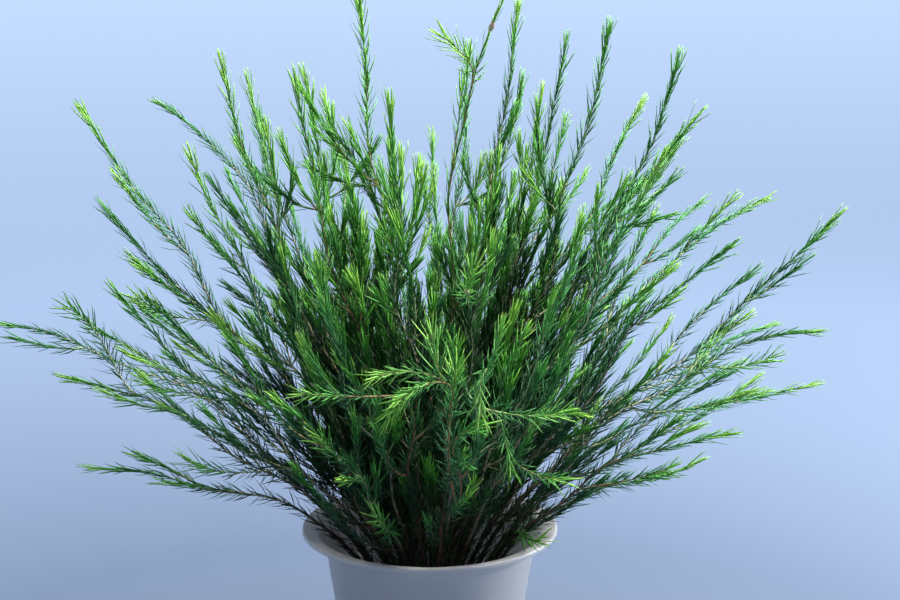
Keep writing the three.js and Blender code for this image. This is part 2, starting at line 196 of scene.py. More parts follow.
def mouth_places(tips):
    """Where stems pass through the mouth: further out the more they lean. Then every pair that
    is too close shares the missing distance between its two, over many passes."""
    heading = np.arctan2(tips[:, 1], tips[:, 0])
    lean = np.array([lean_of(tip) for tip in tips])
    distance = MOUTH_SPREAD * np.sin(lean / 2) / math.sin(WIDEST_TIP / 2)
    places = np.stack([np.cos(heading), np.sin(heading)], -1) * distance[:, None]
    others = 1 - np.eye(len(places))
    for _ in range(MOUTH_PASSES):
        apart = places[:, None] - places
        gap = np.linalg.norm(apart, axis=-1) + np.eye(len(places))
        push = np.maximum(0, MOUTH_APART - gap) / gap / 2 * others
        places = places + (apart * push[..., None]).sum(1)
        reach = np.linalg.norm(places, axis=1, keepdims=True)
        places = places * np.minimum(1, MOUTH_SPREAD / reach)
    return places


# %% Routes of the main stems
FLOOR_HEIGHT = 0.0033
GATHER_HEIGHT = 0.145
GATHER_SHARE = 0.42
MOUTH_LEAN = 10.5
HANDLE_UPRIGHT = 0.44
HANDLE_FLAT = 0.24
TIP_HANDLE = 0.36
FLARE_START = 0.030
FLARE_END = 0.025
WANDER = 0.008
WANDER_LENGTH = 0.20
DRAW_WANDER_ASIDE = 1
DRAW_WANDER_UP = 2


def wander(stem, span):
    """A slow sine wave with a phase of its own for each direction, which dies out at both ends of
    the free length as a squared sine."""
    share = np.linspace(0, 1, CURVE_STEPS + 1)
    fade = WANDER * np.sin(math.pi * share) ** 2
    starts = [seeded(stem, draw) for draw in (DRAW_WANDER_ASIDE, DRAW_WANDER_UP)]
    turns = [share * span / WANDER_LENGTH + start for start in starts]
    return [(fade * np.sin(2 * math.pi * turn))[:, None] for turn in turns]


def main_route(stem, row, place):
    """Straight up from the bucket's floor, then two joined blend curves: the flare to the mouth
    and the free length to the tip. Distances count from the mouth, so the sunk part is negative."""
    tip = np.array(row[:3]) / 1000
    lean = lean_of(tip)
    heading = math.atan2(tip[1], tip[0])
    mouth = np.append(place, MOUTH_HEIGHT)
    base = np.append(place * GATHER_SHARE, FLOOR_HEIGHT)
    bend = np.append(place * GATHER_SHARE, GATHER_HEIGHT)
    out = unit(np.append(place * MOUTH_LEAN, 1))
    flare = bezier([bend, bend + (0, 0, FLARE_START), mouth - out / out[2] * FLARE_END, mouth])
    span = np.linalg.norm(tip - mouth)
    handle = blend(HANDLE_UPRIGHT, HANDLE_FLAT, math.sin(lean) ** 2)
    end = unit(unit(tip - mouth) + (0, 0, row[3]))
    free = bezier([mouth, mouth + out * span * handle, tip - end * span * TIP_HANDLE, tip])
    sideways = np.array([-math.sin(heading), math.cos(heading), 0.0])
    aside, lift = wander(stem, span)
    free = free + aside * sideways + lift * np.cross(unit(tip - mouth), sideways)
    sunk = np.linalg.norm(np.diff(flare, axis=0), axis=1).sum() + bend[2] - base[2]
    return Route(np.vstack([base, flare, free[1:]]), sideways, sunk)


stem_rows = zip(range(len(STEM_TIPS_MM)), STEM_TIPS_MM, mouth_places(stem_tips))
main_routes = [main_route(*row) for row in stem_rows]
print("longest stem", round(max(route.length - route.start for route in main_routes), 3))

# %% [markdown]
# ## The shoots of each stem
#
# The real stems branch freely. The large side shoots sit where the solids have theirs. The
# small sprigs between them are too many for the solids, so they are added here: they leave the
# stem or a side shoot at the golden angle from one another, which spreads them evenly. Upright
# stems carry many, above all at the back, where they close the view through the bunch. The stems
# that arch out sideways are slender whips with hardly any.
#
# Each shoot is first only noted: its route, how freshly it grows, the radius of its wood at the
# root and at the tip, and how its leaves are set. Nothing is built yet. One upright stem is
# tight, with leaves that lie close to it and a dry bud near its tip.

# %% What a shoot is, and the main stems
LEAF_PITCH_UPRIGHT = 0.0017
LEAF_PITCH_FLAT = 0.0018
LEAVES_BELOW_MOUTH = 0.070
MAIN_FLUSH = (0.5, 1.0)
MAIN_WOOD = (0.0020, 0.0004)
SPRIG_WOOD = (0.0009, 0.0004)
TIGHT_STEM = 14
TIGHT_PITCH = 0.0030
TIGHT_SPREAD = 0.4
BUD_FROM_TIP = 0.018
RED_STEMS = (14, 30, 34)
RED_SHARE = 0.25
DRAW_FLUSH = 40
DRAW_REDNESS = 41


@dataclass
class Shoot:
    """One leafy length of a stem. Unless it is told otherwise, it is a sprig."""

    route: Route
    seed: float
    flush: float
    redness: float
    leafy_from: float = 0.003
    wood: tuple = SPRIG_WOOD
    sides: int = 4
    ring_step: float = 0.012
    pitch: float = LEAF_PITCH_UPRIGHT
    spread: float = 1.0
    bud_from_tip: float = 0.0


def flatness(stem):
    """Nought for an upright stem, one for a stem that lies flat: the square of its lean's sine."""
    return math.sin(lean_of(stem_tips[stem])) ** 2


def main_shoot(stem, route):
    """The stem itself, leafy from inside the mouth upwards."""
    tight = stem == TIGHT_STEM
    pitch = blend(LEAF_PITCH_UPRIGHT, LEAF_PITCH_FLAT, flatness(stem))
    redness = max(0.0, 1 - (1 - seeded(stem, DRAW_REDNESS)) / RED_SHARE)
    return Shoot(
        route, stem, blend(*MAIN_FLUSH, seeded(stem, DRAW_FLUSH)),
        redness=1.0 if stem in RED_STEMS else redness,
        leafy_from=-LEAVES_BELOW_MOUTH, wood=MAIN_WOOD, sides=6, ring_step=0.009,
        pitch=TIGHT_PITCH if tight else pitch,
        spread=TIGHT_SPREAD if tight else 1.0,
        bud_from_tip=BUD_FROM_TIP if tight else 0.0,
    )


# %% Side shoots
GOLDEN_ANGLE = math.radians(137.5)
BARE_LENGTH = 0.045
WHORL_PITCH = 0.058
MOST_SHOOTS = 3
SIDE_SHARE = 0.62
SIDE_LONGEST = 0.150
SIDE_VARY = 0.1
SIDE_FORWARD = 0.93
SIDE_APART_LOW = 0.2
SIDE_APART_HIGH = 0.42
SIDE_HANDLE = 0.22
SIDE_FLUSH = (0.4, 1.0)
SIDE_WOOD = (0.0011, 0.0004)
SIDE_SEEDS = 60
DRAW_FIRST_TURN = 5
DRAW_SIDE_LENGTH = 20
DRAW_SIDE_FLUSH = 30


def side_route(parent, along, turn, length, apart):
    """A shoot that leaves its parent at an angle and bends to run beside it."""
    root = parent.place(along)
    heading = parent.heading(along)
    first, second = parent.across(along)
    side = first * math.cos(turn) + second * math.sin(turn)
    bend = SIDE_HANDLE * length
    tip = root + heading * SIDE_FORWARD * length + side * apart * length
    return Route(bezier([root, root + heading * bend + side * bend, tip]), parent.sideways)


def side_shoots(stem, main):
    """The two or three large side shoots, at the same whorls as on the solid."""
    route = main.route
    count = max(1, round((route.length - BARE_LENGTH) / WHORL_PITCH)) + 1
    shoots = min(MOST_SHOOTS, count // 2)
    first_turn = 2 * math.pi * seeded(stem, DRAW_FIRST_TURN)
    made = []
    for index in range(shoots):
        whorl = 1 + index * (count - 2) // shoots
        along = blend(BARE_LENGTH, route.length, whorl / (count - 1))
        vary = 1 + SIDE_VARY * (2 * seeded(stem, DRAW_SIDE_LENGTH + index) - 1)
        length = vary * min(SIDE_LONGEST, SIDE_SHARE * (route.length - along))
        apart = blend(SIDE_APART_LOW, SIDE_APART_HIGH, along / route.length)
        line = side_route(route, along, first_turn + index * GOLDEN_ANGLE, length, apart)
        flush = blend(*SIDE_FLUSH, seeded(stem, DRAW_SIDE_FLUSH + index))
        made.append(Shoot(
            line, stem + SIDE_SEEDS * (index + 1), flush, main.redness,
            wood=SIDE_WOOD, sides=5, ring_step=0.009, pitch=main.pitch,
        ))
    return made


# %% Sprigs
SPRIG_FROM = -0.012
SPRIG_CROWDING = 1.25
SPRIG_APART_LEAST = 0.18
SPRIG_APART_MOST = 0.48
SPRIG_LENGTH_VARY = 0.35
SPRIG_LONGEST_SHARE = 0.8
SPRIG_FLUSH = (0.12, 1.0)
LOW_SPRIG_FLUSH = 0.7
DRAWS_PER_SPRIG = 7


def sprigs(parent, pitch, reach, lengths, draw):
    """Short sprigs along a parent, each turned by the golden angle. Place k of n lies at the share
    k / n to a power above one, so they crowd near the root, where they are also longest. Flush
    grows with the square of its draw, so only a few of them are bright."""
    line = parent.route
    span = line.length * reach - SPRIG_FROM
    count = max(0, int(span / pitch))
    first_turn = 2 * math.pi * seeded(parent.seed, draw - 1)
    made = []
    for index in range(count):
        drawn = [seeded(parent.seed, draw + DRAWS_PER_SPRIG * index + offset) for offset in range(4)]
        share = ((index + drawn[0]) / count) ** SPRIG_CROWDING
        along = SPRIG_FROM + span * share
        length = blend(*lengths, share) * (1 + SPRIG_LENGTH_VARY * (2 * drawn[1] - 1))
        length = min(length, SPRIG_LONGEST_SHARE * (line.length - along))
        apart = blend(SPRIG_APART_LEAST, SPRIG_APART_MOST, drawn[3])
        route = side_route(line, along, first_turn + index * GOLDEN_ANGLE, length, apart)
        flush = blend(*SPRIG_FLUSH, drawn[2] ** 2) * blend(LOW_SPRIG_FLUSH, 1.0, share)
        made.append(Shoot(route, parent.seed + draw + index, flush, parent.redness))
    return made


# %% All shoots of each stem
SPRIG_PITCH_UPRIGHT = 0.0072
SPRIG_PITCH_FLAT = 0.070
SPRIG_REACH_UPRIGHT = 0.66
SPRIG_REACH_FLAT = 0.16
SPRIG_LENGTHS = (0.125, 0.050)
SIDE_SPRIG_PITCH_UPRIGHT = 0.018
SIDE_SPRIG_PITCH_FLAT = 0.120
SIDE_SPRIG_REACH = 0.45
SIDE_SPRIG_LENGTHS = (0.060, 0.030)
BACK_FULLER = 2.2
BACK_DEPTH = 0.25
DRAW_SPRIGS = 200
DRAW_SIDE_SPRIGS = 400


def shoots_of(stem, route):
    """Main stem, side shoots and sprigs. The sprigs get sparser as the square of the lean's sine
    grows, and closer as the tip lies further back."""
    main = main_shoot(stem, route)
    if stem == TIGHT_STEM:
        return [main, *side_shoots(stem, main)]
    sides = side_shoots(stem, main)
    flat = flatness(stem)
    fuller = 1 + BACK_FULLER * share_of(stem_tips[stem][1], BACK_DEPTH)
    pitch = blend(SPRIG_PITCH_UPRIGHT, SPRIG_PITCH_FLAT, flat) / fuller
    side_pitch = blend(SIDE_SPRIG_PITCH_UPRIGHT, SIDE_SPRIG_PITCH_FLAT, flat)
    reach = blend(SPRIG_REACH_UPRIGHT, SPRIG_REACH_FLAT, flat)
    made = [main, *sides, *sprigs(main, pitch, reach, SPRIG_LENGTHS, DRAW_SPRIGS)]
    for number, side in enumerate(sides):
        draw = DRAW_SIDE_SPRIGS + SIDE_SEEDS * number
        made += sprigs(side, side_pitch, SIDE_SPRIG_REACH, SIDE_SPRIG_LENGTHS, draw)
    return made


bunch = [shoots_of(stem, route) for stem, route in enumerate(main_routes)]
print("shoots", sum(map(len, bunch)))

# %% [markdown]
# ### Sprays with a place of their own
#
# Some sprays catch the eye in the photo: a drooping pair in the middle, a bright fan at either
# side of it, and twin tips beside several of the long stems. A rule can't place these, so each
# is given by a point it passes and its tip. It grows from whatever line runs nearest to that
# point, so the drooping pair grows from the upright spray listed before it. The last value is
# the thickness of its wood. Their leaves spread more widely than the others.

# %% Placed sprays
SPRAYS_MM = [
    (10, -170, 350, 25, -260, 470, 3.2), (0, -285, 475, -30, -300, 440, 1.3),
    (5, -290, 470, -20, -300, 455, 1.2), (40, -280, 475, 45, -295, 440, 1.3),
    (0, -260, 475, -40, -285, 470, 1.2), (10, -250, 470, 5, -260, 500, 1.1),
    (10, -250, 410, 45, -285, 430, 1.3), (65, -240, 420, 110, -270, 435, 1.8),
    (-50, -225, 435, -100, -260, 450, 1.8), (-30, -150, 285, -45, -185, 320, 1.6),
    (-75, -190, 370, -90, -215, 400, 1.6), (65, -245, 415, 70, -260, 385, 1.6),
    (85, -190, 355, 115, -225, 365, 1.6), (75, -70, 255, 105, -95, 265, 1.6),
    (30, -205, 515, 40, -215, 545, 1.6), (-90, -190, 515, -90, -200, 540, 1.6),
    (-25, -170, 545, -35, -180, 570, 1.6), (45, -60, 705, 15, -60, 730, 1.8),
    (-305, -25, 450, -335, -60, 480, 1.8), (-245, -30, 455, -270, -60, 490, 1.8),
    (-170, -120, 325, -220, -120, 350, 1.8), (-215, -60, 385, -265, -80, 415, 1.8),
    (300, 10, 395, 335, 0, 420, 1.8), (175, -60, 305, 225, -80, 330, 1.8),
]
SPRAY_SETBACK = 0.6
SPRAY_LEAST_ALONG = 0.010
SPRAY_HANDLE = 0.35
SPRAY_SPREAD = 2.0
SPRAY_FLUSH = 0.75
SPRAY_TIP_RADIUS = 0.0006
SPRAY_SEEDS = 900
BUD_SPRAY = 14
SPRAY_BUD_FROM_TIP = 0.036


def nearest_line(lines, point):
    """Which line passes closest to a point, how far along, and the gap to it."""
    gaps = [np.linalg.norm(line.points - point, axis=1) for line in lines]
    chosen = int(np.argmin([gap.min() for gap in gaps]))
    return chosen, lines[chosen].distance[gaps[chosen].argmin()], gaps[chosen].min()


def spray_route(line, along, gap, via, tip):
    """Leaves its line a little before the nearest place, along it, then bends past the point."""
    along = max(SPRAY_LEAST_ALONG, along - SPRAY_SETBACK * gap - SPRAY_LEAST_ALONG)
    root = line.place(along)
    handle = line.heading(along) * SPRAY_HANDLE * np.linalg.norm(via - root)
    return Route(bezier([root, root + handle, via, tip]), line.sideways)


spray_lines = list(main_routes)
spray_owner = list(range(len(main_routes)))
for number, row in enumerate(SPRAYS_MM):
    via = np.array(row[:3]) / 1000
    chosen, along, gap = nearest_line(spray_lines, via)
    line = spray_route(spray_lines[chosen], along, gap, via, np.array(row[3:6]) / 1000)
    owner = spray_owner[chosen]
    bunch[owner].append(Shoot(
        line, SPRAY_SEEDS + number, SPRAY_FLUSH, bunch[owner][0].redness,
        wood=(row[6] / 2000, SPRAY_TIP_RADIUS), sides=5, ring_step=0.008, spread=SPRAY_SPREAD,
        bud_from_tip=SPRAY_BUD_FROM_TIP if number == BUD_SPRAY else 0.0,
    ))
    spray_lines.append(line)
    spray_owner.append(owner)
added_lines = spray_lines[len(main_routes):]
print("placed sprays", len(added_lines), "longest", round(max(line.length for line in added_lines), 3))

# %% [markdown]
# ## Surfaces from arrays
#
# Thousands of leaves are one shape repeated, so no leaf is made by itself. Every function here
# works out all its points as one array. The faces of one leaf are numbered once and shifted for
# the others. A small class gathers points, faces and the values that the finishes read.

# %% Mesh helper
class Surface:
    """Gathers points, quads and triangles with a value for each point, then makes one mesh."""

    def __init__(self):
        self.points = []
        self.quads = []
        self.triangles = []
        self.slots = []
        self.values = {"youth": [], "tint": [], "along": []}
        self.count = 0

    def add(self, points, quads, triangles, slot=0, **values):
        """Keeps one more shape; its faces are numbered on from the points that are there."""
        points = points.reshape(-1, 3)
        self.quads.append(quads.reshape(-1, 4) + self.count)
        self.triangles.append(triangles.reshape(-1, 3) + self.count)
        self.slots.append((slot, quads.size // 4, triangles.size // 3))
        self.points.append(points)
        for name, kept in self.values.items():
            kept.append(np.broadcast_to(values.get(name, 0.0), len(points)))
        self.count += len(points)

    def mesh(self, name, *finishes):
        """All shapes as one mesh: quads first, then triangles, each with its finish's number."""
        mesh = bpy.data.meshes.new(name)
        points = np.concatenate(self.points).astype(np.float32)
        quads = np.concatenate(self.quads)
        triangles = np.concatenate(self.triangles)
        corners = np.concatenate([quads.ravel(), triangles.ravel()]).astype(np.int32)
        sizes = np.repeat([4, 3], [len(quads), len(triangles)])
        slots = [np.full(quad_count, slot) for slot, quad_count, _ in self.slots]
        slots += [np.full(triangle_count, slot) for slot, _, triangle_count in self.slots]
        mesh.vertices.add(len(points))
        mesh.vertices.foreach_set("co", points.ravel())
        mesh.loops.add(len(corners))
        mesh.loops.foreach_set("vertex_index", corners)
        mesh.polygons.add(len(sizes))
        mesh.polygons.foreach_set("loop_start", (np.cumsum(sizes) - sizes).astype(np.int32))
        mesh.polygons.foreach_set("material_index", np.concatenate(slots).astype(np.int32))
        mesh.polygons.foreach_set("use_smooth", np.ones(len(sizes), dtype=bool))
        for value_name, kept in self.values.items():
            attribute = mesh.attributes.new(value_name, "FLOAT", "POINT")
            attribute.data.foreach_set("value", np.concatenate(kept).astype(np.float32))
        for finish in finishes:
            mesh.materials.append(finish)
        mesh.update(calc_edges=True)
        return mesh


def triangle_count(mesh):
    """A face with n corners is n - 2 triangles."""
    return len(mesh.loops) - 2 * len(mesh.polygons)


def ring_faces(rings, sides):
    """Faces between rings of corners, and a fan to one more point at either end."""
    corner = np.arange(sides)
    beside = np.roll(corner, -1)
    ring = np.arange(rings - 1)[:, None] * sides
    quads = np.stack([ring + corner, ring + beside, ring + beside + sides, ring + corner + sides], -1)
    start = rings * sides
    start_fan = np.stack([beside, corner, np.full(sides, start)], -1)
    end_fan = np.stack([start - sides + corner, start - sides + beside, np.full(sides, start + 1)], -1)
    return quads, np.concatenate([start_fan, end_fan])


# %% [markdown]
# ## Twigs
#
# A twig is a tapering round bar with faint swellings where leaves have grown. It is a ring of
# corners carried along the route. The ring's radius falls from the root to the tip, with a small
# ripple on it, and both ends are closed. The main stems need the most corners, and the thinnest
# sprigs look round enough with four.

# %% Twig surface
TWIG_RIPPLE = 0.07
TWIG_RIPPLE_LENGTH = 0.023
TWIG_TAPER = 0.5
YOUNG_WOOD_LENGTH = 0.50
LEAST_RINGS = 4
BARK = 0


def tube(route, along, radius, sides):
    """Rings of the given radii round the route, square to it, closed at both ends."""
    first, second = route.across(along)
    angle = np.arange(sides)[:, None] * 2 * math.pi / sides
    spokes = first[:, None] * np.cos(angle) + second[:, None] * np.sin(angle)
    middle = route.place(along)
    rings = middle[:, None] + spokes * radius[:, None, None]
    return np.concatenate([rings.reshape(-1, 3), middle[:1], middle[-1:]])


def add_twig(surface, shoot):
    """Radius falls with the square root of the share of the way, times one plus a small sine."""
    route = shoot.route
    count = max(LEAST_RINGS, int((route.length - route.start) / shoot.ring_step))
    along = np.linspace(route.start, route.length, count)
    share = share_of(along, route.length) ** TWIG_TAPER
    ripple = 1 + TWIG_RIPPLE * np.sin(2 * math.pi * along / TWIG_RIPPLE_LENGTH + shoot.seed)
    radius = blend(*shoot.wood, share) * ripple
    youth = 1 - share_of(route.length - along, YOUNG_WOOD_LENGTH)
    surface.add(
        tube(route, along, radius, shoot.sides), *ring_faces(count, shoot.sides), BARK,
        youth=np.append(np.repeat(youth, shoot.sides), youth[[0, -1]]),
        tint=shoot.redness,
    )


# %% [markdown]
# ## Leaves
#
# Each leaf is a narrow blade, 15 to 30 mm long and under two millimetres wide. Its upper face is
# flat and its underside has a keel, so three corners are enough for its section. The leaves climb
# the shoot in a spiral at the golden angle. Old leaves stand off the twig and bend back towards
# it, and on a stem that lies flat they are shorter and stand off further, like a feather. The
# young ones at the tip are crowded, a little wider, and point forward like a brush. Two blades
# are used: one with an extra ring for the tips, which stand free against the light, and a
# plainer one for the many leaves inside the bunch.

# %% Leaf blades
LEAF_WIDTH = 0.0014
LEAF_KEEL = 0.34
TIP_WIDER = 1.15


class Blade:
    """Where a leaf has rings, how wide it is there, and the faces between them."""

    def __init__(self, stations, widths):
        rings = len(stations)
        quads, fans = ring_faces(rings, 3)
        self.stations = np.array(stations)
        self.half_widths = np.array(widths) * LEAF_WIDTH / 2
        self.corners = 3 * rings + 1
        self.quads = quads
        self.triangles = np.concatenate([[[2, 1, 0]], fans[3:] - (fans[3:] == 3 * rings + 1)])


fine_blade = Blade([0.0, 0.3, 0.75], [0.5 * TIP_WIDER, TIP_WIDER, 0.75 * TIP_WIDER])
plain_blade = Blade([0.0, 0.45], [0.6, 1.0])
print("corners of a leaf", fine_blade.corners, "or", plain_blade.corners)


def leaf_points(blade, root, heading, away, length, lean, bend, roll):
    """All blades at once. The centre line turns evenly from lean to lean + bend, so its place
    after a share u is the integral of cos and sin of that angle. Round it stand the keel and the
    two edges, square to the line and rolled about it."""
    share = np.append(blade.stations, 1.0)
    angle = lean[:, None] + bend[:, None] * share
    forward = (np.sin(angle) - np.sin(lean)[:, None]) / bend[:, None]
    outward = (np.cos(lean)[:, None] - np.cos(angle)) / bend[:, None]
    line = (
        root[:, None]
        + heading[:, None] * (forward * length[:, None])[..., None]
        + away[:, None] * (outward * length[:, None])[..., None]
    )
    sideways = np.cross(heading, away)[:, None]
    under = away[:, None] * np.cos(angle)[..., None] - heading[:, None] * np.sin(angle)[..., None]
    edge = sideways * np.cos(roll)[:, None, None] + under * np.sin(roll)[:, None, None]
    keel = under * np.cos(roll)[:, None, None] - sideways * np.sin(roll)[:, None, None]
    half = blade.half_widths[None, :, None]
    rings = np.stack([
        line[:, :-1] + keel[:, :-1] * half * 2 * LEAF_KEEL,
        line[:, :-1] + edge[:, :-1] * half,
        line[:, :-1] - edge[:, :-1] * half,
    ], 2)
    return np.concatenate([rings.reshape(len(root), blade.corners - 1, 3), line[:, -1:]], 1)


# %% How the leaves are set
LEAF_LENGTH_UPRIGHT = 0.0255
LEAF_LENGTH_FLAT = 0.0175
LEAF_LENGTH_VARY = 0.25
TIP_TUFT = 0.035
TIP_LONGER = 1.2
LEAF_PAST_TIP = 0.0212
TIP_CROWDING = 0.88
FINE_LENGTH = 0.040
OLD_LENGTH = 0.150
FRESH_LENGTH = 0.030
GREEN_LENGTH = 0.160
GREEN_SHARE = 0.4
LEAN_TIP = math.radians(16)
LEAN_YOUNG = math.radians(19)
LEAN_UPRIGHT = math.radians(28)
LEAN_FLAT = math.radians(43)
LEAN_JITTER = math.radians(13)
LEAN_JITTER_TIP = math.radians(9)
LEAF_BEND_LEAST = math.radians(-2)
LEAF_BEND_MOST = math.radians(-30)
LEAF_ROLL = math.radians(50)
LEAF_TINT_SHARE = 0.35
TURN_JITTER = 0.5
MOUTH_KEEP = 0.9
MOUTH_THIN_LENGTH = 0.060
LEAST_LEAVES = 8
LEAF = 1
LEAF_SEED_SHIFT = 0.37
DRAWS_PER_LEAF = 11
DRAW_TONE = 61


def leaf_lean(shoot, from_tip, rise):
    """Lean grows from the tip backwards, and further on old wood the flatter it lies."""
    old = blend(LEAN_FLAT, LEAN_UPRIGHT, np.clip(rise, 0, 1))
    young = blend(LEAN_TIP, LEAN_YOUNG, share_of(from_tip, FINE_LENGTH))
    share = share_of(from_tip - FINE_LENGTH, OLD_LENGTH - FINE_LENGTH)
    return shoot.spread * blend(young, old, share)


def add_leaves(surface, shoot):
    """Leaf n stands at n golden angles round the shoot. Its length, lean, bend, roll and tint are
    drawn by its number. Youth is the sum of two exponentials that fall off from the tip."""
    route = shoot.route
    leafy_length = route.length - shoot.leafy_from
    count = max(LEAST_LEAVES, int(leafy_length / shoot.pitch))
    number = np.arange(count)
    leaf_seed = shoot.seed + LEAF_SEED_SHIFT
    along = shoot.leafy_from + leafy_length * ((number + 0.5) / count) ** TIP_CROWDING
    if shoot.leafy_from < 0:
        keep = blend(MOUTH_KEEP, 1.0, share_of(along, MOUTH_THIN_LENGTH))
        kept = seeded(leaf_seed, DRAWS_PER_LEAF * number + DRAWS_PER_LEAF - 1) < keep
        number = number[kept]
        along = along[kept]
    drawn = [seeded(leaf_seed, DRAWS_PER_LEAF * number + offset) for offset in range(6)]
    from_tip = route.length - along
    heading = route.heading(along)
    first, second = route.across(along)
    turn = number * GOLDEN_ANGLE + shoot.seed + TURN_JITTER * drawn[0]
    away = first * np.cos(turn)[:, None] + second * np.sin(turn)[:, None]
    tuft = 1 - share_of(from_tip, TIP_TUFT)
    length = blend(LEAF_LENGTH_FLAT, LEAF_LENGTH_UPRIGHT, np.clip(heading[:, 2], 0, 1))
    length = length * blend(1.0, TIP_LONGER, tuft) * (1 + LEAF_LENGTH_VARY * (2 * drawn[1] - 1))
    length = np.minimum(length, from_tip + LEAF_PAST_TIP)
    bend = blend(LEAF_BEND_LEAST, LEAF_BEND_MOST, drawn[5])
    jitter = blend(LEAN_JITTER, LEAN_JITTER_TIP, tuft)
    lean = leaf_lean(shoot, from_tip, heading[:, 2]) + jitter * (2 * drawn[2] - 1)
    roll = LEAF_ROLL * (2 * drawn[3] - 1)
    fresh = np.exp(-from_tip / FRESH_LENGTH)
    youth = shoot.flush * blend(fresh, np.exp(-from_tip / GREEN_LENGTH), GREEN_SHARE)
    tint = blend(seeded(shoot.seed, DRAW_TONE), drawn[4], LEAF_TINT_SHARE)
    settings = [route.place(along), heading, away, length, lean, bend, roll]
    near = from_tip < FINE_LENGTH
    for blade, those in ((fine_blade, near), (plain_blade, ~near)):
        amount = int(those.sum())
        shift = (np.arange(amount) * blade.corners)[:, None, None]
        surface.add(
            leaf_points(blade, *(setting[those] for setting in settings)),
            blade.quads.reshape(1, -1, 4) + shift, blade.triangles[None] + shift, LEAF,
            youth=np.repeat(youth[those], blade.corners),
            tint=np.repeat(tint[those], blade.corners),
            along=np.tile(np.append(np.repeat(blade.stations, 3), 1.0), amount),
        )


# %% [markdown]
# ## Shader helper
#
# Node graphs are easier to read as sums than as boxes and wires. `Value` wraps one socket, so
# that `1 - mask` or `grain * 0.2` adds the Math node it needs. `Nodes` adds every other node
# with one method, and `Finish` is a material made with it.

# %% Value
class Value:
    """A socket that takes part in arithmetic; each operation adds one Math node."""

    def __init__(self, nodes, socket):
        self.nodes = nodes
        self.socket = socket

    def calculated(self, operation, left, right):
        """One Math node with two inputs."""
        return self.nodes.node("ShaderNodeMath", {"operation": operation}, {0: left, 1: right})

    def __add__(self, other):
        return self.calculated("ADD", self, other)

    __radd__ = __add__

    def __sub__(self, other):
        return self.calculated("SUBTRACT", self, other)

    def __rsub__(self, other):
        return self.calculated("SUBTRACT", other, self)

    def __mul__(self, other):
        return self.calculated("MULTIPLY", self, other)

    __rmul__ = __mul__

    def __truediv__(self, other):
        return self.calculated("DIVIDE", self, other)

    def __rtruediv__(self, other):
        return self.calculated("DIVIDE", other, self)

    def clamped(self):
        """The value kept from 0 to 1."""
        return self.nodes.node("ShaderNodeClamp", {}, {0: self})


# %% Nodes
class Nodes:
    """Adds nodes to one node tree."""

    def __init__(self, tree):
        self.tree = tree
        self.tree.nodes.clear()

    def node(self, kind, settings, sockets, output=0):
        """Adds a node, sets its settings, then its sockets, and returns one output."""
        made = self.tree.nodes.new(kind)
        for name, setting in settings.items():
            if name == "stops":
                self.set_stops(made.color_ramp, setting)
            else:
                setattr(made, name, setting)
        for name, value in sockets.items():
            if isinstance(value, Value):
                self.tree.links.new(value.socket, made.inputs[name])
            else:
                made.inputs[name].default_value = value
        return Value(self, made.outputs[output] if made.outputs else None)

    @staticmethod
    def set_stops(ramp, stops):
        """Gives a colour ramp its stops, each a position and a colour."""
        while len(ramp.elements) < len(stops):
            ramp.elements.new(1.0)
        for element, (position, colour) in zip(ramp.elements, stops):
            element.position = position
            element.color = (*colour, 1.0)

    def ramp(self, share, stops):
        """A colour that runs through the stops as the share goes from 0 to 1."""
        return self.node("ShaderNodeValToRGB", {"stops": stops}, {0: share})

    def vector(self, operation, sockets, output=0):
        """Vector arithmetic."""
        return self.node("ShaderNodeVectorMath", {"operation": operation}, sockets, output)

    def mix(self, share, first, second):
        """A blend of two colours."""
        return self.node("ShaderNodeMix", {"data_type": "RGBA"}, {0: share, 6: first, 7: second}, 2)


# %% Finish
class Finish(Nodes):
    """One material under construction."""

    def __init__(self, name):
        self.material = bpy.data.materials.new(name)
        self.material.use_nodes = True
        super().__init__(self.material.node_tree)

    def attribute(self, name):
        """A value stored on the piece's own points."""
        return self.node("ShaderNodeAttribute", {"attribute_name": name}, {}, "Fac")

    def place(self):
        """Object coordinates, in metres."""
        return self.node("ShaderNodeTexCoord", {}, {}, "Object")

    def noise(self, scale, detail=2.0, stretch=(1.0, 1.0, 1.0)):
        """Soft noise from 0 to 1; scale is in lumps per metre, less along a stretched axis."""
        where = self.node("ShaderNodeMapping", {}, {"Vector": self.place(), "Scale": stretch})
        return self.node("ShaderNodeTexNoise", {}, {"Vector": where, "Scale": scale, "Detail": detail})

    def bump(self, height, distance, strength=1.0):
        """A normal tilted by the slope of a height."""
        sockets = {"Height": height, "Distance": distance, "Strength": strength}
        return self.node("ShaderNodeBump", {}, sockets)

    def principled(self, **sockets):
        """The one shader nearly every finish is made of."""
        named = {}
        for name, value in sockets.items():
            named[name.replace("_", " ").title().replace("Ior", "IOR")] = value
        return self.node("ShaderNodeBsdfPrincipled", {}, named)

    def lit_through(self, share, shader, colour):
        """The shader with a share of light that passes through, in that colour."""
        through = self.node("ShaderNodeBsdfTranslucent", {}, {"Color": colour})
        return self.node("ShaderNodeMixShader", {}, {0: share, 1: shader, 2: through})

    def outward(self, start, width):
        """A share that grows from 0 at a distance from the upright axis to 1 a width further out."""
        flat = self.vector("MULTIPLY", {0: self.place(), 1: (1, 1, 0)})
        return ((self.vector("LENGTH", {0: flat}, "Value") - start) * (1 / width)).clamped()

    def painted_shade_below(self, top, depth):
        """A painted shade mask: a share that grows from 0 at a height to 1 at that depth below it."""
        height = self.node("ShaderNodeSeparateXYZ", {}, {0: self.place()}, "Z")
        return ((top - height) * (1 / depth)).clamped()

    def done(self, shader):
        """Connects the last shader and returns the material."""
        self.node("ShaderNodeOutputMaterial", {}, {"Surface": shader})
        print("finish", self.material.name, "has", len(self.tree.nodes), "nodes")
        return self.material
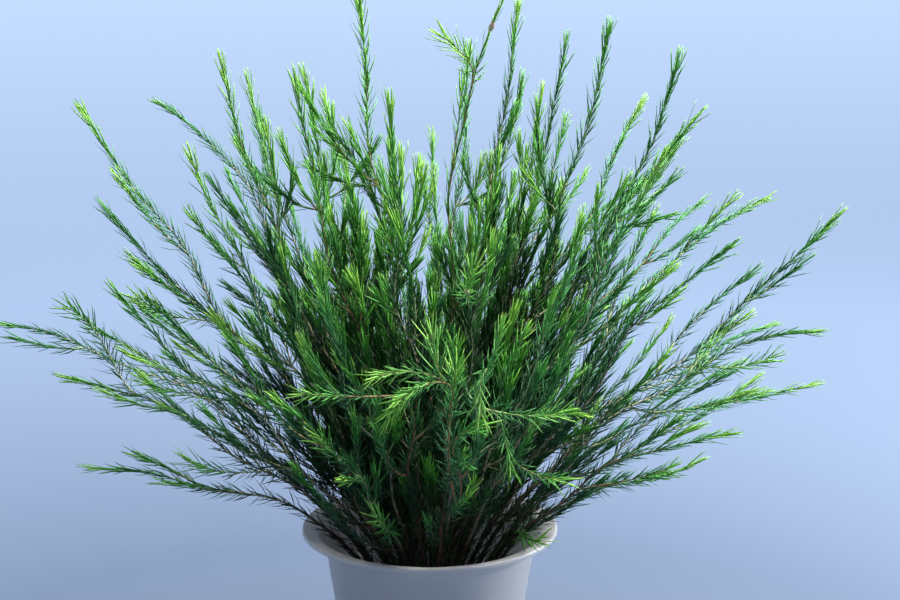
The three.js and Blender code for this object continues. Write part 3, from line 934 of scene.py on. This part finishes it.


# %% [markdown]
# ### Leaf green
#
# Old leaves are deep green. Low down inside the bunch they are darkened towards black, which is
# painted shade, and the old leaves on the outside have a bluish bloom that is partly their own
# waxy tone and partly a painted sheen of the bright sky. The last few centimetres of a shoot go
# through fresh green to yellow green.
# No two leaves are quite alike, and whole regions of a bunch differ a little, so a value per leaf
# and a slow noise over the bunch both shift the colour. A share of the light passes through a
# leaf, and more of it through a young one, which is what makes the tufts glow.

# %% Leaf finish
YOUTH_LIGHTER = 0.9
TINT_LIGHTER = 0.5
REGION_LIGHTER = 0.5
REGIONS_PER_METRE = 9.0
TIP_LIGHTER = 0.1
AGE_START = -0.06
# Painted shade: old leaves low down inside the bunch are darkened, less so further out.
INNER_PAINTED_SHADE = 0.62
OUTSIDE_FROM = 0.10
OUTSIDE_DEPTH = 0.16
PAINTED_SHADE_TOP = 0.60
PAINTED_SHADE_DEPTH = 0.25
PAINTED_SHADE_LOST_OUTSIDE = 0.6
LEAF_GRAIN_PER_METRE = 900.0
LEAF_GRAIN_HEIGHT = 0.0002
LEAF_ROUGHNESS = (0.42, 0.58)
# Bluish bloom of old outer leaves: partly their own waxy tone, partly painted sheen of the sky.
BLOOM_AND_SHEEN_LEAST = 0.15
BLOOM_AND_SHEEN_VARY = 0.60
BLOOM_AND_SHEEN = (0.100, 0.340, 0.210, 1.0)
LEAF_THROUGH = (0.12, 0.45)
LEAF_GLOW = (0.22, 0.56, 0.09, 1.0)


def leaf_finish():
    """Age is a weighted sum of the leaf's youth, its tint, the region and the way along the
    leaf, less a painted shade low down inside the bunch. It picks the green from a ramp."""
    finish = Finish("leaf_green")
    youth = finish.attribute("youth")
    tint = finish.attribute("tint")
    along = finish.attribute("along")
    region = finish.noise(REGIONS_PER_METRE) - 0.5
    outer = finish.outward(OUTSIDE_FROM, OUTSIDE_DEPTH)
    # Painted shade mask for leaves low down inside the bunch, weaker further out.
    painted_inner_shade = finish.painted_shade_below(PAINTED_SHADE_TOP, PAINTED_SHADE_DEPTH) * (1 - PAINTED_SHADE_LOST_OUTSIDE * outer)
    varied = tint * TINT_LIGHTER + AGE_START + region * REGION_LIGHTER + along * TIP_LIGHTER
    age = (youth * YOUTH_LIGHTER + varied - INNER_PAINTED_SHADE * painted_inner_shade * (1 - youth)).clamped()
    green = finish.ramp(age, [
        (0.0, (0.003, 0.018, 0.003)),
        (0.25, (0.017, 0.110, 0.012)),
        (0.55, (0.120, 0.430, 0.045)),
        (1.0, (0.480, 0.840, 0.140)),
    ])
    # Bloom and painted sheen: old leaves further out are mixed towards a bluish colour.
    bloom_and_sheen = (tint * BLOOM_AND_SHEEN_VARY + BLOOM_AND_SHEEN_LEAST) * outer * (1 - youth)
    grain = finish.noise(LEAF_GRAIN_PER_METRE)
    face = finish.principled(
        base_color=finish.mix(bloom_and_sheen.clamped(), green, BLOOM_AND_SHEEN),
        roughness=blend(*LEAF_ROUGHNESS, grain), specular_ior_level=0.22,
        normal=finish.bump(grain, LEAF_GRAIN_HEIGHT, strength=0.5),
    )
    return finish.done(finish.lit_through(blend(*LEAF_THROUGH, youth), face, LEAF_GLOW))


leaf_green = leaf_finish()

# %% [markdown]
# ### Bark
#
# The wood of the last few centimetres is yellow green. Further back it is pale tan on some stems
# and reddish brown on others. Near the mouth and inside the bucket it is darkened towards a deep
# brown, which is painted shade. Fine cracks run lengthwise. The stem's own value picks between
# the two kinds.

# %% Bark finish
# Painted shade: bark below a height near the mouth is darkened towards this colour.
BARK_PAINTED_SHADE = (0.040, 0.024, 0.016, 1.0)
BARK_SHADE_TOP = 0.36
BARK_SHADE_DEPTH = 0.11
BARK_PATCHES_PER_METRE = 60.0
PATCHES_VARY = 0.3
CRACKS_PER_METRE = 1400.0
CRACKS_LENGTHWISE = (1.0, 1.0, 0.15)
CRACK_DEPTH = 0.0004
BARK_ROUGHNESS = (0.55, 0.80)


def bark_finish():
    """Age is the wood's youth plus a small share of the patches. It picks a colour from each of
    two ramps, and the stem's redness mixes the two. Below a height the wood is darkened as
    painted shade."""
    finish = Finish("twig_bark")
    youth = finish.attribute("youth")
    red = finish.attribute("tint")
    patches = finish.noise(BARK_PATCHES_PER_METRE, detail=4.0)
    age = (youth + (patches - 0.5) * PATCHES_VARY).clamped()
    pale = finish.ramp(age, [
        (0.05, (0.150, 0.095, 0.055)),
        (0.30, (0.520, 0.420, 0.270)),
        (0.60, (0.720, 0.620, 0.420)),
        (0.85, (0.540, 0.560, 0.280)),
        (0.97, (0.240, 0.440, 0.100)),
    ])
    reddish = finish.ramp(age, [
        (0.05, (0.060, 0.026, 0.014)),
        (0.30, (0.210, 0.085, 0.042)),
        (0.85, (0.440, 0.210, 0.100)),
        (0.97, (0.270, 0.340, 0.080)),
    ])
    dry = finish.mix(red, pale, reddish)
    cracks = finish.noise(CRACKS_PER_METRE, detail=3.0, stretch=CRACKS_LENGTHWISE)
    return finish.done(finish.principled(
        # Painted shade: the bark colour is darkened below a height near the mouth.
        base_color=finish.mix(finish.painted_shade_below(BARK_SHADE_TOP, BARK_SHADE_DEPTH), dry, BARK_PAINTED_SHADE),
        roughness=blend(*BARK_ROUGHNESS, patches),
        normal=finish.bump(cracks, CRACK_DEPTH, strength=0.6),
    ))


twig_bark = bark_finish()

# %% [markdown]
# ## Fifty leafy stems
#
# Each stem becomes one piece with two finishes, bark first and leaf second. The piece stands for
# the solid of the same number and rides on the one body. Two dry brown buds sit on stems where
# the photo shows them. A bud is a tube too, with a radius that swells and closes like half a
# sine wave.

# %% Buds
BUD_LENGTH = 0.013
BUD_RADIUS = 0.0028
BUD_RINGS = 7
BUD_SIDES = 8
BUD_SPAN = (0.08, 0.96)
BUD_YOUTH = 0.6
BUD_REDNESS = 0.5


def add_bud(surface, shoot):
    """Radius is the sine of pi times the share of the bud's length."""
    share = np.linspace(*BUD_SPAN, BUD_RINGS)
    along = shoot.route.length - shoot.bud_from_tip + BUD_LENGTH * (share - 0.5)
    points = tube(shoot.route, along, BUD_RADIUS * np.sin(math.pi * share), BUD_SIDES)
    surface.add(points, *ring_faces(BUD_RINGS, BUD_SIDES), BARK, youth=BUD_YOUTH, tint=BUD_REDNESS)


# %% Build the leafy stems
def dress(piece, node):
    """Places a finished piece in the model: on the root body, in place of the node it stands for."""
    bpy.context.collection.objects.link(piece)
    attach(piece, "root")
    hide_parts(node)


foliage_triangles = 0
for stem, shoots in enumerate(bunch):
    surface = Surface()
    for shoot in shoots:
        add_twig(surface, shoot)
        add_leaves(surface, shoot)
        if shoot.bud_from_tip:
            add_bud(surface, shoot)
    mesh = surface.mesh(f"foliage_{stem + 1:02d}", twig_bark, leaf_green)
    dress(bpy.data.objects.new(mesh.name, mesh), f"leafy_stem_{stem + 1:02d}")
    foliage_triangles += triangle_count(mesh)
print("foliage triangles", foliage_triangles)

# %% [markdown]
# ## The bucket
#
# A flower bucket is moulded in one piece: a wall that widens upwards, a lip that flares out to
# carry it by, and a small turned-down edge. All of it is round, so its outline is drawn once as
# straight stretches with rounded corners and turned about the upright axis.

# %% Turned pieces
TURN_STEPS = 128
ROUNDING_STEPS = 6


def rounded(outline):
    """Each corner of radius r becomes a blend curve between the two points where an arc of that
    radius touches the straight stretches, with the corner as the point that pulls it."""
    corners = np.array([point[:2] for point in outline])
    share = np.linspace(0, 1, ROUNDING_STEPS)[:, None]
    made = [corners[:1]]
    for before, here, after, row in zip(corners, corners[1:], corners[2:], outline[1:-1]):
        back = unit(before - here)
        onward = unit(after - here)
        half_angle = math.acos(np.clip(back @ onward, -1, 1)) / 2
        touch = row[2] / math.tan(half_angle)
        start = here + back * touch
        end = here + onward * touch
        made.append(blend(blend(start, here, share), blend(here, end, share), share))
    return np.concatenate([*made, corners[-1:]])


def turned(profile):
    """Radius and height pairs turned about Z. The first and last pair lie on the axis."""
    angle = np.arange(TURN_STEPS) * 2 * math.pi / TURN_STEPS
    radius = profile[1:-1, :1]
    height = np.broadcast_to(profile[1:-1, 1:], (len(radius), TURN_STEPS))
    rings = np.stack([radius * np.cos(angle), radius * np.sin(angle), height], -1)
    ends = np.array([[0, 0, profile[0, 1]], [0, 0, profile[-1, 1]]])
    points = np.concatenate([rings.reshape(-1, 3), ends])
    return points, *ring_faces(len(radius), TURN_STEPS)


def turned_piece(name, profile, finish):
    """One object with the turned profile as its mesh."""
    surface = Surface()
    surface.add(*turned(profile))
    return bpy.data.objects.new(name, surface.mesh(name, finish))


# %% [markdown]
# The lip is the one part of the bucket that shows well. The outline has its sizes, each as a
# radius, a height and the radius of the rounding there. It runs from the middle of the
# underside outwards, up the wall, over the lip and down the inside.

# %% Bucket outline
BASE_RADIUS = 0.070
NECK_RADIUS = 0.104
NECK_HEIGHT = 0.229
LIP_RADIUS = 0.127
WALL = 0.0024
FLOOR = 0.003
TURN_DOWN = 0.005
FOOT_RECESS = 0.0015
flare = (LIP_RADIUS - NECK_RADIUS) / 3
lip_under = MOUTH_HEIGHT - WALL

bucket_outline = [
    (0, FOOT_RECESS, 0),
    (BASE_RADIUS - 0.010, FOOT_RECESS, 0.001),
    (BASE_RADIUS - 0.008, 0, 0.001),
    (BASE_RADIUS - 0.0005, 0, 0.0025),
    (NECK_RADIUS, NECK_HEIGHT, 0.012),
    (NECK_RADIUS + flare, lip_under - flare / 2, 0.008),
    (LIP_RADIUS - WALL, lip_under, 0.0006),
    (LIP_RADIUS - WALL, MOUTH_HEIGHT - TURN_DOWN, 0.0005),
    (LIP_RADIUS, MOUTH_HEIGHT - TURN_DOWN, 0.0008),
    (LIP_RADIUS, MOUTH_HEIGHT, 0.0022),
    (NECK_RADIUS + flare, MOUTH_HEIGHT - flare / 2, 0.010),
    (NECK_RADIUS - WALL, NECK_HEIGHT + WALL, 0.010),
    (BASE_RADIUS - WALL, FLOOR, 0.004),
    (0, FLOOR, 0),
]

# %% [markdown]
# White bucket plastic is smooth but not mirror bright. Faint cloudiness in its gloss and the
# slightest unevenness from the mould keep it from looking like enamel. The wall is thin enough
# for some light to pass through it, so a translucent shader is mixed with the glossy one.

# %% Plastic finish
CLOUDS_PER_METRE = 22.0
SPECKS_PER_METRE = 700.0
SPECK_HEIGHT = 0.0003
PLASTIC_ROUGHNESS = (0.26, 0.32)
PLASTIC_THROUGH = 0.2
PLASTIC_GLOW = (0.92, 0.90, 0.90, 1.0)


def plastic_finish():
    """The clouds set colour and gloss together, and the same share of light passes everywhere."""
    finish = Finish("bucket_white")
    clouds = finish.noise(CLOUDS_PER_METRE, detail=3.0)
    specks = finish.noise(SPECKS_PER_METRE)
    face = finish.principled(
        base_color=finish.ramp(clouds, [(0.2, (0.69, 0.67, 0.67)), (0.8, (0.72, 0.70, 0.70))]),
        roughness=blend(*PLASTIC_ROUGHNESS, clouds),
        normal=finish.bump(specks, SPECK_HEIGHT, strength=0.15),
    )
    return finish.done(finish.lit_through(PLASTIC_THROUGH, face, PLASTIC_GLOW))


bucket = turned_piece("flower_bucket", rounded(bucket_outline), plastic_finish())
dress(bucket, "bucket")
print("bucket triangles", triangle_count(bucket.data))

# %% [markdown]
# ## The water
#
# The cut stems stand in about a hand's breadth of water. Its surface is flat but for the rim,
# where it climbs the wall by a millimetre or so. That rise falls off as an exponential.

# %% Shape of the water
WATER_LEVEL = 0.110
WATER_GAP = 0.0004
MENISCUS_RISE = 0.0015
MENISCUS_WIDTH = 0.003
MENISCUS_REACH = 0.030
MENISCUS_RINGS = 14
FOOT_INSET = 0.002


def wall_radius(height):
    """Inner radius of the tapered wall at a height."""
    share = (height - FLOOR) / (NECK_HEIGHT - FLOOR)
    return blend(BASE_RADIUS, NECK_RADIUS, share) - WALL - WATER_GAP


def water_profile():
    """Across the underside, up the wall, then inwards as the rise falls off."""
    inward = np.linspace(0, 1, MENISCUS_RINGS) ** 2 * MENISCUS_REACH
    level = WATER_LEVEL - MENISCUS_RISE
    surface = np.stack([
        wall_radius(WATER_LEVEL) - inward,
        level + MENISCUS_RISE * np.exp(-inward / MENISCUS_WIDTH),
    ], -1)
    under = FLOOR + WATER_GAP
    foot = [(0, under), (wall_radius(under) - FOOT_INSET, under)]
    return np.concatenate([foot, surface, [(0, level)]])


# %% [markdown]
# Water is clear and bends the light by its own index. A slow ripple tilts its surface a little
# and shifts its faint green by the least amount.

# %% Water finish
RIPPLES_PER_METRE = 35.0
RIPPLE_HEIGHT = 0.0006
WATER_INDEX = 1.333


def water_finish():
    """One ripple sets both the colour and the tilt of the surface."""
    finish = Finish("bucket_water")
    ripple = finish.noise(RIPPLES_PER_METRE, detail=1.0)
    return finish.done(finish.principled(
        base_color=finish.ramp(ripple, [(0.0, (0.80, 0.88, 0.86)), (1.0, (0.86, 0.92, 0.90))]),
        roughness=0.03, ior=WATER_INDEX, transmission_weight=1.0,
        normal=finish.bump(ripple, RIPPLE_HEIGHT, strength=0.4),
    ))


water = turned_piece("bucket_water", water_profile(), water_finish())
dress(water, "water")
print("water triangles", triangle_count(water.data))

# %% [markdown]
# ## Floor and light
#
# The bunch stands on a floor of dark blue grey that runs on far behind it. Its pale look is painted
# light: the floor glows faintly, the more so the further off it is, with no glow close round the
# bunch, and meets a sky of the same pale blue, so no edge shows behind the bunch from any side.
# One broad soft light hangs at the upper right, a little behind, a second comes in from the right,
# and a weak third fills in from the front. The sky is bright behind the bunch and dim in front,
# which leaves the near side of the bucket in shade.

# %% Stage
FLOOR_RADIUS = 90.0
FLOOR_THICKNESS = 0.02
FLOOR_PATCH = 2.0
FLOOR_BASE = (0.10, 0.125, 0.17, 1.0)
SKY_FRONT = (0.02, 0.022, 0.028, 1.0)
SKY_BACK = (0.66, 0.78, 1.00, 1.0)
SKY_HORIZON = (0.88, 1.14, 1.58, 1.0)
SKY_STRENGTH = 0.60
HORIZON_BAND = 0.14
LIGHT_TARGET = (0, 0, 0.4)


def stage_floor():
    """A flat disc of a dark base colour. Its glow, painted light that makes it pale far off, follows
    the distance from the middle, divided by itself plus the radius of the dim patch that the bunch
    stands on."""
    outline = [(0, -FLOOR_THICKNESS), (FLOOR_RADIUS, -FLOOR_THICKNESS), (FLOOR_RADIUS, 0), (0, 0)]
    finish = Finish("stage_floor")
    distance = finish.vector("LENGTH", {0: finish.place()}, "Value")
    share = distance / (distance + FLOOR_PATCH)
    # The emission below is painted light; it is nil close round the bunch.
    pale = finish.done(finish.principled(
        base_color=FLOOR_BASE, roughness=0.9, specular_ior_level=0.1,
        emission_color=finish.ramp(share, [
            (0.08, (0.00, 0.00, 0.00)),
            (0.25, (0.02, 0.05, 0.12)),
            (0.55, (0.34, 0.46, 0.68)),
            (0.95, (0.51, 0.67, 0.94)),
        ]),
        emission_strength=1.0,
    ))
    floor = turned_piece("stage_floor", np.array(outline), pale)
    bpy.context.collection.objects.link(floor)


def soft_light(name, place, size, power, colour):
    """A square area light turned to face the bunch."""
    data = bpy.data.lights.new(name, "AREA")
    data.shape = "SQUARE"
    data.size = size
    data.energy = power
    data.color = colour
    light = bpy.data.objects.new(name, data)
    light.location = place
    light.rotation_mode = "QUATERNION"
    light.rotation_quaternion = (Vector(LIGHT_TARGET) - Vector(place)).to_track_quat("-Z", "Y")
    bpy.context.collection.objects.link(light)


def soft_sky():
    """The share from front to back is half of one plus the direction's Y. The colour of the floor
    far off takes over at the horizon all round, and falls away evenly as Z grows."""
    world = bpy.data.worlds.new("soft_sky")
    world.use_nodes = True
    nodes = Nodes(world.node_tree)
    direction = nodes.node("ShaderNodeTexCoord", {}, {}, "Generated")
    back = nodes.node("ShaderNodeSeparateXYZ", {}, {0: direction}, "Y")
    up = nodes.node("ShaderNodeSeparateXYZ", {}, {0: direction}, "Z")
    horizon = (1 - up * (1 / HORIZON_BAND)).clamped()
    colour = nodes.mix(horizon, nodes.mix(back * 0.5 + 0.5, SKY_FRONT, SKY_BACK), SKY_HORIZON)
    glow = nodes.node("ShaderNodeBackground", {}, {"Color": colour, "Strength": SKY_STRENGTH})
    nodes.node("ShaderNodeOutputWorld", {}, {"Surface": glow})
    bpy.context.scene.world = world


stage_floor()
soft_sky()
soft_light("top_light", (0.9, 0.45, 2.6), size=1.1, power=185, colour=(1.0, 0.99, 0.97))
soft_light("window_light", (2.6, 0.7, 1.1), size=0.9, power=66, colour=(0.90, 0.95, 1.0))
soft_light("room_light", (-0.2, -1.1, 2.9), size=1.2, power=16, colour=(1.0, 0.98, 0.95))
print("lights", len(bpy.data.lights))
